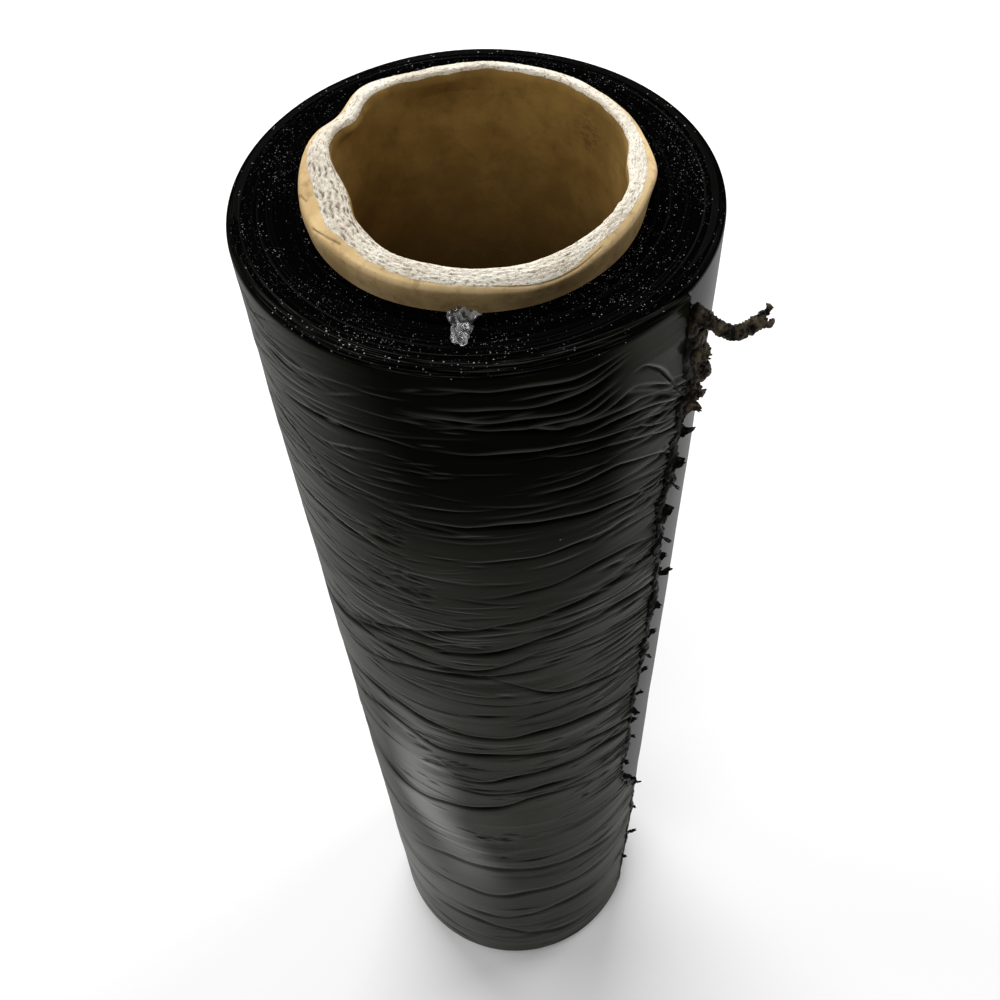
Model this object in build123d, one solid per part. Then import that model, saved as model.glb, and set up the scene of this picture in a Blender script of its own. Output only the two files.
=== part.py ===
"""Stretch wrap roll: black film wound on a paperboard core, standing on its end.

Millimetres, +Z up. The origin is on the roll's axis, in the plane that the core stands on.
Angles are in degrees about +Z from +X, and the worn face of the roll looks towards -Y.
"""

import os
from math import cos, exp, pi, radians, sin
from typing import NamedTuple

from build123d import *

# Sizes of the wound film and its core
FILM_WIDTH = 457.2
FILM_BUILD = 19.9
CORE_BORE = 76.2
CORE_WALL = 3.5
CORE_OVERHANG = 9.5

# Ends of the wound film, where the edges of its turns show in bands
FILM_SHOULDER = 3.0
TOP_TURN_BANDS = 5
BOTTOM_TURN_BANDS = 2
TURN_BAND_DEPTH = 0.8

# Last turn of film, which is gathered towards a torn edge and fades out round the back
TORN_EDGE_ANGLE = -39.5
TORN_EDGE_WANDER = 0.8
LAST_TURN_SWEEP = 180.0
LAST_TURN_STEP = 1.0
LAST_TURN_ROOT = 6.0
LAST_TURN_FADE = 0.3
POINTS_AROUND = 16

# Gathers and folds in the last turn
FOLDS = 28
FOLD_HEIGHT = 1.0
FOLD_HEIGHT_SPREAD = 1.2
FOLD_LIP = 2.4
FOLD_ROLL = 0.7
GATHER_REACH = 0.22
FOLD_DRIFT = 4.0
FOLD_CLEAR_END = 8.0

# Battered rim of the core
RIM_HEIGHT = 8.0
RIM_BULGE = 1.1
RIM_GROOVE = 1.0
RIM_POINTS = 32

# Torn strand that sticks out at the top of the torn edge
STRAND_DROP = 11.0
STRAND_HEADING = 0.0
STRAND_REACH = 19.0
STRAND_SAG = 4.0
STRAND_THICKNESS = 3.4
STRAND_TIP_THICKNESS = 1.4
STRAND_TWIST = 270.0
STRAND_BENDS = 7
PRONG_START = 0.75
PRONG_REACH = 5.0
PRONG_TWIST = 60.0

# Shreds down the torn edge
SHRED_LENGTH = 6.0
SHRED_SIZE = 2.6
SHRED_LIFT = 1.6
SHRED_ROOT = 3.0
SHRED_TWIST = 110.0

# Scrap of clear film at the foot of the core
SCRAP_ANGLE = -97.0
SCRAP_WIDTH = 8.0
SCRAP_REACH = 10.0
SCRAP_THICKNESS = 0.5
SCRAP_PLEATS = 3
SCRAP_PLEAT_RISE = 1.8
SCRAP_ARCH = 1.2
SCRAP_SKEW = 1.5

# Worked out from the sizes above
BORE_RADIUS = CORE_BORE / 2
CORE_RADIUS = BORE_RADIUS + CORE_WALL
FILM_RADIUS = CORE_RADIUS + FILM_BUILD
CORE_LENGTH = FILM_WIDTH + 2 * CORE_OVERHANG
FILM_BOTTOM = CORE_OVERHANG
FILM_TOP = FILM_BOTTOM + FILM_WIDTH
BAND_CREST = 0.25 * TURN_BAND_DEPTH
GOLDEN = (5**0.5 - 1) / 2


class RimDent(NamedTuple):
    """A knock in the core's rim: where it is, how wide, and how far each part of it moved."""

    angle: float
    spread: float
    inner: float
    outer: float
    drop: float


RIM_DENTS = (
    RimDent(angle=193, spread=24, inner=-6.2, outer=0.0, drop=1.4),
    RimDent(angle=222, spread=14, inner=-2.4, outer=-0.3, drop=0.5),
    RimDent(angle=246, spread=16, inner=-1.6, outer=0.0, drop=0.6),
    RimDent(angle=145, spread=9, inner=-2.2, outer=-0.9, drop=0.8),
    RimDent(angle=127, spread=9, inner=0.3, outer=1.6, drop=0.0),
    RimDent(angle=100, spread=12, inner=-0.9, outer=0.0, drop=0.3),
    RimDent(angle=-6, spread=9, inner=-1.3, outer=1.2, drop=0.7),
    RimDent(angle=-70, spread=18, inner=-0.6, outer=0.9, drop=0.9),
)


# Run of the torn edge: share of the film's width from the bottom, degrees from its usual angle
TORN_EDGE_RUN = (
    (0.00, 11.5),
    (0.25, 13.0),
    (0.33, 9.5),
    (0.41, -4.0),
    (0.56, -3.0),
    (0.70, 0.3),
    (0.80, -2.2),
    (0.93, 1.7),
    (1.00, -1.2),
)


class Shred(NamedTuple):
    """A shred at the torn edge: its share of the film's width from the bottom, and how big it is."""

    share: float
    length: float
    size: float
    lift: float


SHREDS = (
    Shred(share=0.960, length=1.2, size=1.7, lift=1.4),
    Shred(share=0.936, length=1.0, size=1.5, lift=1.1),
    Shred(share=0.905, length=1.3, size=1.2, lift=1.6),
    Shred(share=0.850, length=1.0, size=1.0, lift=1.0),
    Shred(share=0.740, length=0.8, size=0.9, lift=0.9),
    Shred(share=0.640, length=1.1, size=1.1, lift=1.1),
    Shred(share=0.545, length=0.8, size=0.9, lift=0.9),
    Shred(share=0.305, length=1.0, size=1.0, lift=1.0),
    Shred(share=0.155, length=1.2, size=1.0, lift=1.3),
)


def scatter(index, lane=0):
    """A number from 0 to 1 for each index, spread evenly and with no visible order."""
    return ((index + 1) * GOLDEN + lane * GOLDEN**3) % 1.0


def polar(radius, angle, height):
    """The point at a radius and an angle about the roll's axis."""
    return Vector(radius * cos(radians(angle)), radius * sin(radians(angle)), height)


def torn_edge_angle(height):
    """The angle of the torn edge at a height."""
    share = (height - FILM_BOTTOM) / FILM_WIDTH
    for (low, first), (high, last) in zip(TORN_EDGE_RUN, TORN_EDGE_RUN[1:]):
        if share <= high:
            break
    return TORN_EDGE_ANGLE + first + (last - first) * (share - low) / (high - low)


# Wound film


def end_points(end, inwards, bands):
    """Points of the profile across an end of the roll, from the film's outside to the core."""
    outer = FILM_RADIUS - FILM_SHOULDER
    band = (outer - CORE_RADIUS) / bands
    crest = end + inwards * BAND_CREST
    eased = FILM_SHOULDER * (1.0 - cos(radians(45)))
    points = [
        (FILM_RADIUS, end + inwards * FILM_SHOULDER),
        (FILM_RADIUS - eased, end + inwards * eased),
        (outer, end),
    ]
    for k in range(bands):
        valley = outer - band * (k + 0.35 + 0.3 * scatter(k, 3))
        depth = TURN_BAND_DEPTH * (0.6 + 0.4 * scatter(k, 4))
        points += [(valley, end + inwards * depth), (outer - band * (k + 1), crest)]
    return points


def make_wound_film():
    """The turns under the last one: a body of revolution with eased, banded ends."""
    bottom = end_points(FILM_BOTTOM, 1, BOTTOM_TURN_BANDS)
    top = end_points(FILM_TOP, -1, TOP_TURN_BANDS)
    outline = [(radius, 0, height) for radius, height in bottom[::-1] + top]
    return revolve(make_face(Polyline(*outline, close=True)), Axis.Z)


def fold_strength(turn, index):
    """How far a fold stands up at a share of the last turn, strongest at the torn edge."""
    gathered = exp(-turn / GATHER_REACH)
    waves = 1 + index % 3
    rolling = max(0.0, sin(pi * (waves * turn + 2 * scatter(index, 2)))) ** 2
    return (gathered + FOLD_ROLL * rolling) * min(1.0, 5 * (1.0 - turn))


def fold_drift(turn, height):
    """How far a fold line wanders up or down, fading out at both ends of the roll."""
    share = (height - FILM_BOTTOM) / FILM_WIDTH
    wave = sin(pi * (turn + 2.6 * share)) + 0.6 * sin(2 * pi * (turn - 2.1 * share))
    return FOLD_DRIFT * wave * sin(pi * share) ** 2


def film_line(height, index, inset=0.0, crest=0.0, at_end=False):
    """A closed line round the last turn at about one height, from its torn edge to where it fades."""
    edge = torn_edge_angle(height) + TORN_EDGE_WANDER * (2 * scatter(index, 5) - 1)
    outside, inside = [], []
    for k in range(POINTS_AROUND + 1):
        turn = (k / POINTS_AROUND) ** 1.3
        angle = edge - LAST_TURN_SWEEP * turn
        level = height if at_end else height + fold_drift(turn, height)
        stand = LAST_TURN_STEP * (1.0 - turn) - LAST_TURN_FADE * turn - inset
        outside.append(polar(FILM_RADIUS + stand + crest * fold_strength(turn, index), angle, level))
        inside.append(polar(FILM_RADIUS - LAST_TURN_ROOT, angle, level))
    return Wire(
        [
            Edge.make_spline(outside),
            Edge.make_line(outside[-1], inside[-1]),
            Edge.make_spline(inside[::-1]),
            Edge.make_line(inside[0], outside[0]),
        ]
    )


def make_last_turn():
    """The gathered turn, lofted up the roll: the foot of each fold, and its crest just above."""
    low = FILM_BOTTOM + FOLD_CLEAR_END
    pitch = (FILM_WIDTH - 2 * FOLD_CLEAR_END) / FOLDS
    hidden = LAST_TURN_STEP + 0.6 * FILM_SHOULDER
    edge = 0.25 * FILM_SHOULDER
    lines = [film_line(FILM_BOTTOM + edge, 0, inset=hidden, at_end=True)]
    lines.append(film_line(FILM_BOTTOM + FILM_SHOULDER, 1, at_end=True))
    for index in range(FOLDS):
        foot = low + pitch * (index + 0.15 + 0.5 * scatter(index))
        crest = FOLD_HEIGHT + FOLD_HEIGHT_SPREAD * scatter(index, 1)
        lines.append(film_line(foot, index))
        lines.append(film_line(foot + FOLD_LIP, index, crest=crest))
    lines.append(film_line(FILM_TOP - FILM_SHOULDER, FOLDS, at_end=True))
    lines.append(film_line(FILM_TOP - edge, FOLDS + 1, inset=hidden, at_end=True))
    return Solid.make_loft(lines, ruled=True)


def make_film_roll():
    """All the turns of film as one solid."""
    return make_wound_film() + make_last_turn()


# Core


def upright_cylinder(radius, low, high):
    """A cylinder on the roll's axis between two heights."""
    standing = (Align.CENTER, Align.CENTER, Align.MIN)
    return Pos(0, 0, low) * Cylinder(radius, high - low, align=standing)


def rim_shift(angle):
    """How far the rim's inner edge, outer edge and height are moved at an angle."""
    inner = outer = drop = 0.0
    for dent in RIM_DENTS:
        away = (angle - dent.angle + 180) % 360 - 180
        bump = exp(-((away / dent.spread) ** 2))
        inner += dent.inner * bump
        outer += dent.outer * bump
        drop += dent.drop * bump
    return inner, outer, drop


def rim_line(radius, below, inner_share, outer_share):
    """A closed line round the rim, moved by its share of the dents."""
    points = []
    for k in range(RIM_POINTS):
        angle = 360.0 * k / RIM_POINTS
        inner, outer, drop = rim_shift(angle)
        moved = radius + inner_share * inner + outer_share * outer
        points.append(polar(moved, angle, CORE_LENGTH - below - drop))
    return Wire([Edge.make_spline(points, periodic=True)])


def root_circle(radius):
    """A circle where the rim starts, at the end of the tube's straight wall."""
    return Wire([Edge.make_circle(radius, Plane.XY.offset(CORE_LENGTH - RIM_HEIGHT))])


def make_core_rim():
    """The mushroomed rim: a lip that rolls outwards, with its torn plies pushed into the bore."""
    lines = [
        root_circle(CORE_RADIUS),
        rim_line(CORE_RADIUS + RIM_BULGE, 0.5 * RIM_HEIGHT, 0.0, 0.8),
        rim_line(CORE_RADIUS + 0.5 * RIM_BULGE, 0.05 * RIM_HEIGHT, 0.2, 1.0),
        rim_line(BORE_RADIUS + 0.6 * CORE_WALL, RIM_GROOVE, 0.6, 0.5),
        rim_line(BORE_RADIUS + 0.3 * CORE_WALL, 0.03 * RIM_HEIGHT, 0.9, 0.2),
        rim_line(BORE_RADIUS - 0.3 * RIM_BULGE, 0.35 * RIM_HEIGHT, 1.0, 0.0),
        root_circle(BORE_RADIUS),
    ]
    lip = Shell.make_loft(lines, ruled=True)
    root = Face(lines[0], [lines[-1]])
    return Solid(Shell([*lip.faces(), root]))


def make_core_tube():
    """The paperboard tube, cut square at the bottom and battered at the top."""
    straight = CORE_LENGTH - RIM_HEIGHT
    tube = upright_cylinder(CORE_RADIUS, 0, straight) - upright_cylinder(BORE_RADIUS, 0, straight)
    return tube + make_core_rim()


# Torn strand and shreds


def crumpled_strip(path, root_size, tip_size, twist):
    """A strip of film lofted along a path, with a flattened section that turns as it goes."""
    spine = Edge.make_spline(path)
    sections = []
    for k in range(len(path)):
        share = k / (len(path) - 1)
        size = root_size + (tip_size - root_size) * share
        size *= 1.0 + 0.3 * (scatter(k, 6) - 0.5)
        corners = [(-0.5 * size, -0.1 * size), (0.1 * size, -0.3 * size)]
        corners += [(0.5 * size, 0.1 * size), (-0.1 * size, 0.25 * size)]
        section = Wire.make_polygon([Vector(x, y, 0) for x, y in corners])
        place = spine.location_at(share, x_dir=(0, 0, 1)) * Rot(0, 0, twist * share)
        sections.append(section.moved(place))
    return Solid.make_loft(sections, ruled=True)


def strand_point(share):
    """A point on the strand's path: out from the torn edge, sagging in the middle."""
    height = FILM_TOP - STRAND_DROP
    root = polar(FILM_RADIUS - 0.5, torn_edge_angle(height), height)
    out = polar(STRAND_REACH * share, STRAND_HEADING, -STRAND_SAG * sin(pi * share))
    return root + out


def make_strand():
    """The twisted strand, forked at its tip."""
    path = [strand_point(k / STRAND_BENDS) for k in range(STRAND_BENDS + 1)]
    strand = crumpled_strip(path, STRAND_THICKNESS, STRAND_TIP_THICKNESS, STRAND_TWIST)
    fork = strand_point(PRONG_START)
    rise = polar(0.5 * PRONG_REACH, STRAND_HEADING + 90, PRONG_REACH)
    prong = [fork, fork + rise * 0.4 + Vector(0.5, 0, 0), fork + rise]
    return strand + crumpled_strip(prong, STRAND_TIP_THICKNESS, 0.6 * STRAND_TIP_THICKNESS, PRONG_TWIST)


def make_shred(shred, index):
    """One shred that comes out of the torn edge and lies over the turn below it."""
    height = FILM_BOTTOM + shred.share * FILM_WIDTH
    size = SHRED_SIZE * shred.size
    lift = SHRED_LIFT * shred.lift
    climb = size * (scatter(index, 7) - 0.5)
    swing = 180.0 * SHRED_LENGTH * shred.length / (pi * FILM_RADIUS)
    edge = torn_edge_angle(height)
    path = [
        polar(FILM_RADIUS, edge - SHRED_ROOT, height),
        polar(FILM_RADIUS + 0.7 * lift, edge + 0.35 * swing, height + climb),
        polar(FILM_RADIUS + lift, edge + swing, height + 0.4 * climb),
    ]
    return crumpled_strip(path, size, 0.35 * size, SHRED_TWIST)


def make_torn_film_tail(film_roll):
    """The strand and all the shreds, each cut to sit on the film."""
    pieces = [make_strand()] + [make_shred(shred, k) for k, shred in enumerate(SHREDS)]
    return Compound([solid for piece in pieces for solid in (piece - film_roll).solids()])


# Scrap of clear film


def scrap_section(reach, lift, aside):
    """A pleated outline across the scrap at a distance from the core's outside."""
    base = FILM_TOP - BAND_CREST + lift
    centre = polar(CORE_RADIUS + reach, SCRAP_ANGLE, base)
    across = polar(1.0, SCRAP_ANGLE + 90, 0)
    steps = 2 * SCRAP_PLEATS
    lower = []
    for k in range(steps + 1):
        rise = SCRAP_PLEAT_RISE * (0.5 + 0.5 * scatter(k, 8)) if k % 2 else 0.0
        sideways = aside + SCRAP_WIDTH * (k / steps - 0.5)
        lower.append(centre + across * sideways + Vector(0, 0, rise))
    upper = [point + Vector(0, 0, SCRAP_THICKNESS) for point in reversed(lower)]
    return Wire.make_polygon(lower + upper)


def make_clear_film_scrap(core_tube):
    """The pleated scrap, arched off the film and cut to sit against the core."""
    sections = [
        scrap_section(-1.0, 0.0, 0.0),
        scrap_section(0.4 * SCRAP_REACH, SCRAP_ARCH, 0.0),
        scrap_section(SCRAP_REACH, 0.0, SCRAP_SKEW),
    ]
    return Solid.make_loft(sections, ruled=True) - core_tube


if __name__ == "__main__":
    os.makedirs("parts", exist_ok=True)
    core_tube = make_core_tube()
    film_roll = make_film_roll()
    export_step(core_tube, "parts/core_tube.step")
    export_step(film_roll, "parts/film_roll.step")
    export_step(make_torn_film_tail(film_roll), "parts/torn_film_tail.step")
    export_step(make_clear_film_scrap(core_tube), "parts/clear_film_scrap.step")
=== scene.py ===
import math

import bpy
import numpy as np
from mathutils import Matrix, Vector, noise


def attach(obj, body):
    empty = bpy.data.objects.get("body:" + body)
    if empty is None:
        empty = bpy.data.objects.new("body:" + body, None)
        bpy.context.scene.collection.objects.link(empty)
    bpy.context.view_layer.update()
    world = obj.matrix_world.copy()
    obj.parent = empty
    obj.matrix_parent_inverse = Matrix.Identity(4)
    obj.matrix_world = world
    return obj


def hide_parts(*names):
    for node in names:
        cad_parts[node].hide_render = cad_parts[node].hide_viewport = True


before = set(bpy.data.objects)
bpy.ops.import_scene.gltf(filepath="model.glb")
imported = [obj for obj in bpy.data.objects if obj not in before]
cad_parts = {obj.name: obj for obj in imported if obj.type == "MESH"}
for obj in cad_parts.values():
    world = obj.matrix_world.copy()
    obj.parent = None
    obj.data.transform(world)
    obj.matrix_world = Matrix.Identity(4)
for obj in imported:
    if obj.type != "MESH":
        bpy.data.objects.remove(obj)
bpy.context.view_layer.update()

# Sizes are in millimetres and angles in degrees, as in the part's source
MM = 0.001
CORE_RADIUS = 41.6
FILM_RADIUS = 61.5
FILM_BOTTOM = 9.5
FILM_TOP = 466.7
FILM_WIDTH = FILM_TOP - FILM_BOTTOM
FILM_SHOULDER = 2.2
FILM_GIRTH = 386.0
FILM_RUN = 464.0  # up the side, with both shoulders
LAST_TURN_STEP = 1.0
FOLDS = 28
FOLD_CLEAR_END = 8.0
FOLD_LIP = 2.4
FULL_WAVE = 6.3  # in radians, for random phases
GOLDEN = (math.sqrt(5) - 1) / 2

# Where the torn edge runs: share up the film, angle round the roll
TORN_EDGE_RUN = (
    (0, -28), (0.06, -28), (0.15, -27), (0.25, -26.5), (0.33, -30), (0.37, -38), (0.41, -43.5),
    (0.47, -42), (0.56, -42.5), (0.61, -40.5), (0.7, -39.2), (0.736, -38.5), (0.78, -41.5),
    (0.83, -41.8), (0.859, -40.1), (0.89, -39.1), (0.927, -37.8), (0.96, -39.2), (1, -40.7),
)

# Places up the torn edge, in shares of the film width, where the film is bunched
BUNCHES = (0.975, 0.925, 0.86, 0.78, 0.70, 0.64, 0.56, 0.48, 0.36, 0.25, 0.155)
BUNCH_REACH = 11.0
BUNCH_PULL = 5.0

# Loose film: where the strand starts by radius, angle and height, and where the scrap lies
STRAND_START = (62.2, -39.5, 460.3)
SCRAP_ANGLE = -97.0
TAG_THICKNESS = 0.16
SCRAP_THICKNESS = 0.07

# Long folds across the front: depth, width, then share of a turn and height above the film's foot
LONG_FOLDS = (
    (0.5, 0.85, ((0, 357), (0.04, 356), (0.1, 353), (0.2, 342), (0.3, 322), (0.36, 310))),
    (0.55, 0.95, ((0, 334), (0.05, 341), (0.1, 340), (0.16, 333), (0.23, 332), (0.3, 320),
                  (0.35, 314))),
    (0.45, 0.9, ((0.08, 333), (0.12, 330), (0.17, 321), (0.25, 324), (0.3, 318), (0.37, 310))),
    (0.4, 0.8, ((0.07, 320), (0.1, 321), (0.17, 318), (0.22, 315), (0.27, 306), (0.32, 300))),
    (0.4, 0.8, ((0, 287), (0.06, 297), (0.1, 302), (0.15, 317), (0.18, 325))),
    (0.55, 1.05, ((0, 268), (0.09, 275), (0.15, 272), (0.2, 276), (0.26, 281), (0.36, 270))),
    (0.5, 1.1, ((0, 240), (0.05, 251), (0.1, 256), (0.15, 258), (0.2, 257), (0.26, 264),
                (0.35, 242))),
    (0.4, 1, ((0, 234), (0.04, 240), (0.09, 240.5), (0.13, 238), (0.17, 233), (0.22, 239))),
    (0.5, 1.25, ((0.02, 208), (0.1, 217), (0.15, 208), (0.2, 203), (0.25, 199), (0.34, 206))),
    (0.3, 1.1, ((0.05, 224), (0.1, 226), (0.16, 222), (0.22, 225))),
    (0.5, 1.9, ((0.01, 112), (0.05, 121), (0.1, 130), (0.2, 135), (0.26, 135), (0.34, 112))),
    (0.45, 2, ((0.02, 94), (0.1, 99), (0.16, 101), (0.2, 96), (0.26, 99), (0.34, 88))),
    (0.4, 2.2, ((0.05, 28), (0.1, 27), (0.15, 32), (0.2, 45), (0.25, 51), (0.33, 48))),
    (0.35, 2, ((0.04, 66), (0.12, 70), (0.2, 62), (0.28, 70))),
    (0.35, 0.7, ((0.05, 450.5), (0.1, 450.4), (0.14, 451.4), (0.18, 452))),
    (0.35, 0.6, ((0.05, 447.5), (0.09, 447.3), (0.13, 448))),
    (0.6, 0.85, ((0.05, 444.4), (0.1, 444.5), (0.14, 444.9), (0.18, 444))),
    (0.6, 0.85, ((0.052, 440), (0.08, 439.8), (0.12, 440.7), (0.16, 440.5), (0.2, 443))),
    (0.4, 0.6, ((0.055, 437.4), (0.09, 437.2), (0.14, 438))),
    (0.7, 0.95, ((0.045, 434.6), (0.09, 434.6), (0.11, 434))),
    (0.5, 0.6, ((0, 424), (0.03, 430.5), (0.06, 432.2), (0.09, 433.6), (0.135, 438),
                (0.17, 439.6), (0.19, 441))),
    (0.5, 0.6, ((0, 421), (0.03, 427.6), (0.06, 429.4), (0.1, 431))),
    (0.5, 0.65, ((0, 411), (0.04, 421), (0.07, 425), (0.11, 428.5), (0.14, 429.2), (0.19, 429.4))),
    (0.4, 0.6, ((0, 409), (0.02, 412.6), (0.055, 418.8), (0.09, 423), (0.12, 427.6))),
    (0.4, 0.6, ((0, 400), (0.02, 405.1), (0.05, 410), (0.07, 411.2), (0.125, 410.9))),
    (0.6, 0.75, ((0, 386), (0.02, 391.3), (0.057, 396.8), (0.11, 399.6), (0.165, 399.7),
                 (0.21, 400.7), (0.24, 402))),
    (0.35, 0.55, ((0.18, 430), (0.205, 430.6), (0.25, 429.8), (0.275, 428.7), (0.31, 424.5))),
    (0.32, 0.55, ((0.25, 401), (0.265, 405), (0.287, 412), (0.33, 415))),
    (0.36, 0.6, ((0.2, 379), (0.22, 380.5), (0.24, 383), (0.28, 383.3), (0.34, 379))),
    (0.3, 0.6, ((0.02, 383), (0.07, 384), (0.12, 384), (0.17, 383))),
    (0.32, 0.65, ((0, 365), (0.05, 371), (0.11, 368), (0.16, 364))),
    (0.7, 0.55, ((0, 417), (0.006, 423), (0.0135, 429), (0.0203, 433), (0.0281, 435.9),
                 (0.0351, 437.8), (0.0417, 439.3), (0.052, 439.6))),
)

# Crumpled spots: share of a turn, height above the film's foot, spread of each
CRUMPLES = (
    (0.205, 366, 0.03, 8), (0.215, 389, 0.016, 6), (0.16, 176, 0.03, 6), (0.2, 246, 0.02, 6),
    (0.62, 300, 0.04, 12), (0.78, 180, 0.04, 14),
)

# Bruises of the core's rim: angle, spread, inner move, outer move, drop
RIM_DENTS = (
    (193, 24, -7, 0, 1.4), (222, 14, -2.4, -0.3, 0.5), (246, 16, -1.6, 0, 0.6),
    (145, 9, -2.2, -0.9, 0.8), (127, 9, 0.3, 1.6, 0), (100, 12, -0.9, 0, 0.3),
    (-6, 9, -1.3, 1.2, 0.7), (-70, 18, -0.6, 0.9, 0.9),
)

# Where the rim's tan ply stops short of the bared plies or is worn past: angle, spread, shift
PLY_SHIFTS = (
    (196, 26, 0.7), (228, 12, 0.4), (-95, 14, -0.3), (-72, 11, -1.7), (-30, 22, 0.5), (5, 18, 0.8),
    (90, 50, 0.3),
)

# Cracks in the rim's tan ply, the third of them a painted shadow line under the cream overhang:
# places by angle and step along the rim's outline
RIM_CRACKS = (
    ((190, 3.6), (187, 4.6), (188, 5.8), (192, 6.8)),
    ((205, 5.6), (210, 6.4), (215, 6.9), (219, 7.2)),
    ((-86, 6.5), (-76, 6), (-68, 5.6), (-60, 5.8), (-50, 6.6)),
    ((4, 7), (6, 9.5), (7, 11.5)),
    ((-30, 11.6), (-36, 10.6), (-42, 10.9)),
)

# A dark scuff inside the bore, in metres
BORE_SCUFF = (0.0303, 0.0230, 0.4635)


# Small helpers for shaping


def scatter(index, lane=0):
    """An even spread of shares from 0 to 1 that never repeats."""
    return ((index + 1) * GOLDEN + lane * GOLDEN**3) % 1


def smooth(low, high, value):
    share = np.clip((value - low) / (high - low), 0, 1)
    return share * share * (3 - 2 * share)


def round_the_axis(radius, angle, height):
    turned = np.radians(angle)
    return np.stack(np.broadcast_arrays(
        radius * np.cos(turned), radius * np.sin(turned), height), axis=-1)


def turn_from(angle, start):
    """How far round an angle lies from another, from -180 to 180."""
    return (angle - start + 180) % 360 - 180


def bell(away, spread):
    return np.exp(-(away / spread)**2)


def rough(places, seed, octaves=1):
    """Soft unevenness from -1 to 1 at each place."""
    return np.array([
        noise.fractal(Vector(place) + Vector((seed, 2.7 * seed, 0.31)), 1.0, 2.0, octaves)
        for place in np.reshape(places, (-1, 3))])


def creased(places, seed, octaves=3):
    """Sharp-topped unevenness, about 0 to 2, at each place."""
    return np.array([
        noise.ridged_multi_fractal(
            Vector(place) + Vector((seed, 1.9 * seed, 0.77)), 0.9, 2.1, octaves, 1.0, 2.0)
        for place in np.reshape(places, (-1, 3))])


def grid_of(*columns):
    return np.stack(np.broadcast_arrays(*columns), axis=-1)


def eased(points, counts):
    """Points on a smooth line through the given ones, with so many steps in each stretch."""
    points = np.asarray(points, dtype=float)
    ends = np.vstack((2 * points[0] - points[1], points, 2 * points[-1] - points[-2]))
    line = []
    for index, count in enumerate(counts):
        a, b, c, d = ends[index:index + 4]
        for step in np.arange(count) / count:
            line.append(0.5 * (2 * b + (c - a) * step + (2 * a - 5 * b + 4 * c - d) * step**2
                               + (3 * b - a - 3 * c + d) * step**3))
    line.append(points[-1])
    return np.array(line)


# Modelling moves, each as made by hand


def put_down():
    bpy.ops.object.select_all(action="DESELECT")


def take_up(*pieces):
    put_down()
    for piece in pieces:
        piece.select_set(True)
    bpy.context.view_layer.objects.active = pieces[0]


def named(name):
    piece = bpy.context.object
    piece.name = piece.data.name = name
    return piece


def cut_upright_edges(piece, cuts):
    edges = piece.data.edges
    ends = np.empty(len(edges) * 2, dtype=np.int64)
    edges.foreach_get("vertices", ends)
    heights = points_of(piece)[:, 2][ends.reshape(-1, 2)]
    upright = np.abs(heights[:, 0] - heights[:, 1]) > 1e-7
    bpy.ops.object.mode_set(mode="EDIT")
    bpy.ops.mesh.select_mode(type="EDGE")
    bpy.ops.mesh.select_all(action="DESELECT")
    bpy.ops.object.mode_set(mode="OBJECT")
    edges.foreach_set("select", upright)
    bpy.ops.object.mode_set(mode="EDIT")
    bpy.ops.mesh.subdivide(number_cuts=cuts)
    bpy.ops.object.mode_set(mode="OBJECT")


def points_of(piece):
    spots = np.empty(len(piece.data.vertices) * 3)
    piece.data.vertices.foreach_get("co", spots)
    return spots.reshape(-1, 3)


def set_points(piece, spots):
    piece.data.vertices.foreach_set("co", (np.asarray(spots) * MM).ravel())
    piece.data.update()


def open_tube(name, columns, *row_cuts):
    """A tube cut into rows: gives the piece, each point's column and its share of the height."""
    put_down()
    bpy.ops.mesh.primitive_cylinder_add(
        vertices=columns, radius=1, depth=1, end_fill_type="NOTHING", calc_uvs=False)
    piece = named(name)
    for cuts in row_cuts:
        cut_upright_edges(piece, cuts)
    spots = points_of(piece)
    around = np.arctan2(spots[:, 0], spots[:, 1]) / (2 * np.pi) * columns
    return piece, np.rint(around).astype(int) % columns, spots[:, 2] + 0.5


def flat_sheet(name, along, across):
    """A flat sheet: gives the piece and each point's share of the length and the width."""
    put_down()
    bpy.ops.mesh.primitive_grid_add(
        x_subdivisions=along, y_subdivisions=across, size=1, calc_uvs=False)
    piece = named(name)
    spots = points_of(piece)
    return piece, spots[:, 0] + 0.5, spots[:, 1] + 0.5


def merge_points(piece, reach=0.004):
    take_up(piece)
    bpy.ops.object.mode_set(mode="EDIT")
    bpy.ops.mesh.select_all(action="SELECT")
    bpy.ops.mesh.remove_doubles(threshold=reach * MM)
    bpy.ops.mesh.normals_make_consistent(inside=False)
    bpy.ops.object.mode_set(mode="OBJECT")


def thicken(piece, thickness):
    take_up(piece)
    wall = piece.modifiers.new("wall", "SOLIDIFY")
    wall.thickness = thickness * MM
    wall.offset = 0
    bpy.ops.object.modifier_apply(modifier=wall.name)


def joined(name, pieces):
    take_up(*pieces)
    bpy.ops.object.join()
    return named(name)


def smooth_faces(piece, angle=40):
    take_up(piece)
    bpy.ops.object.shade_smooth_by_angle(angle=math.radians(angle))


def lay_wrap_map(piece, across, up):
    corners = np.empty(len(piece.data.loops), dtype=np.int64)
    piece.data.loops.foreach_get("vertex_index", corners)
    wrap = piece.data.uv_layers.new(name="wrap")
    wrap.data.foreach_set("uv", grid_of(across[corners], up[corners]).ravel())


def keep_share(piece, name, shares):
    layer = piece.data.attributes.new(name, "FLOAT", "POINT")
    layer.data.foreach_set("value", np.asarray(shares, dtype=np.float32))


def hand_over(piece, finish, slot, *nodes):
    piece.data.materials.clear()
    piece.data.materials.append(finish)
    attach(piece, "root")
    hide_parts(*nodes)


# Finishes


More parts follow.
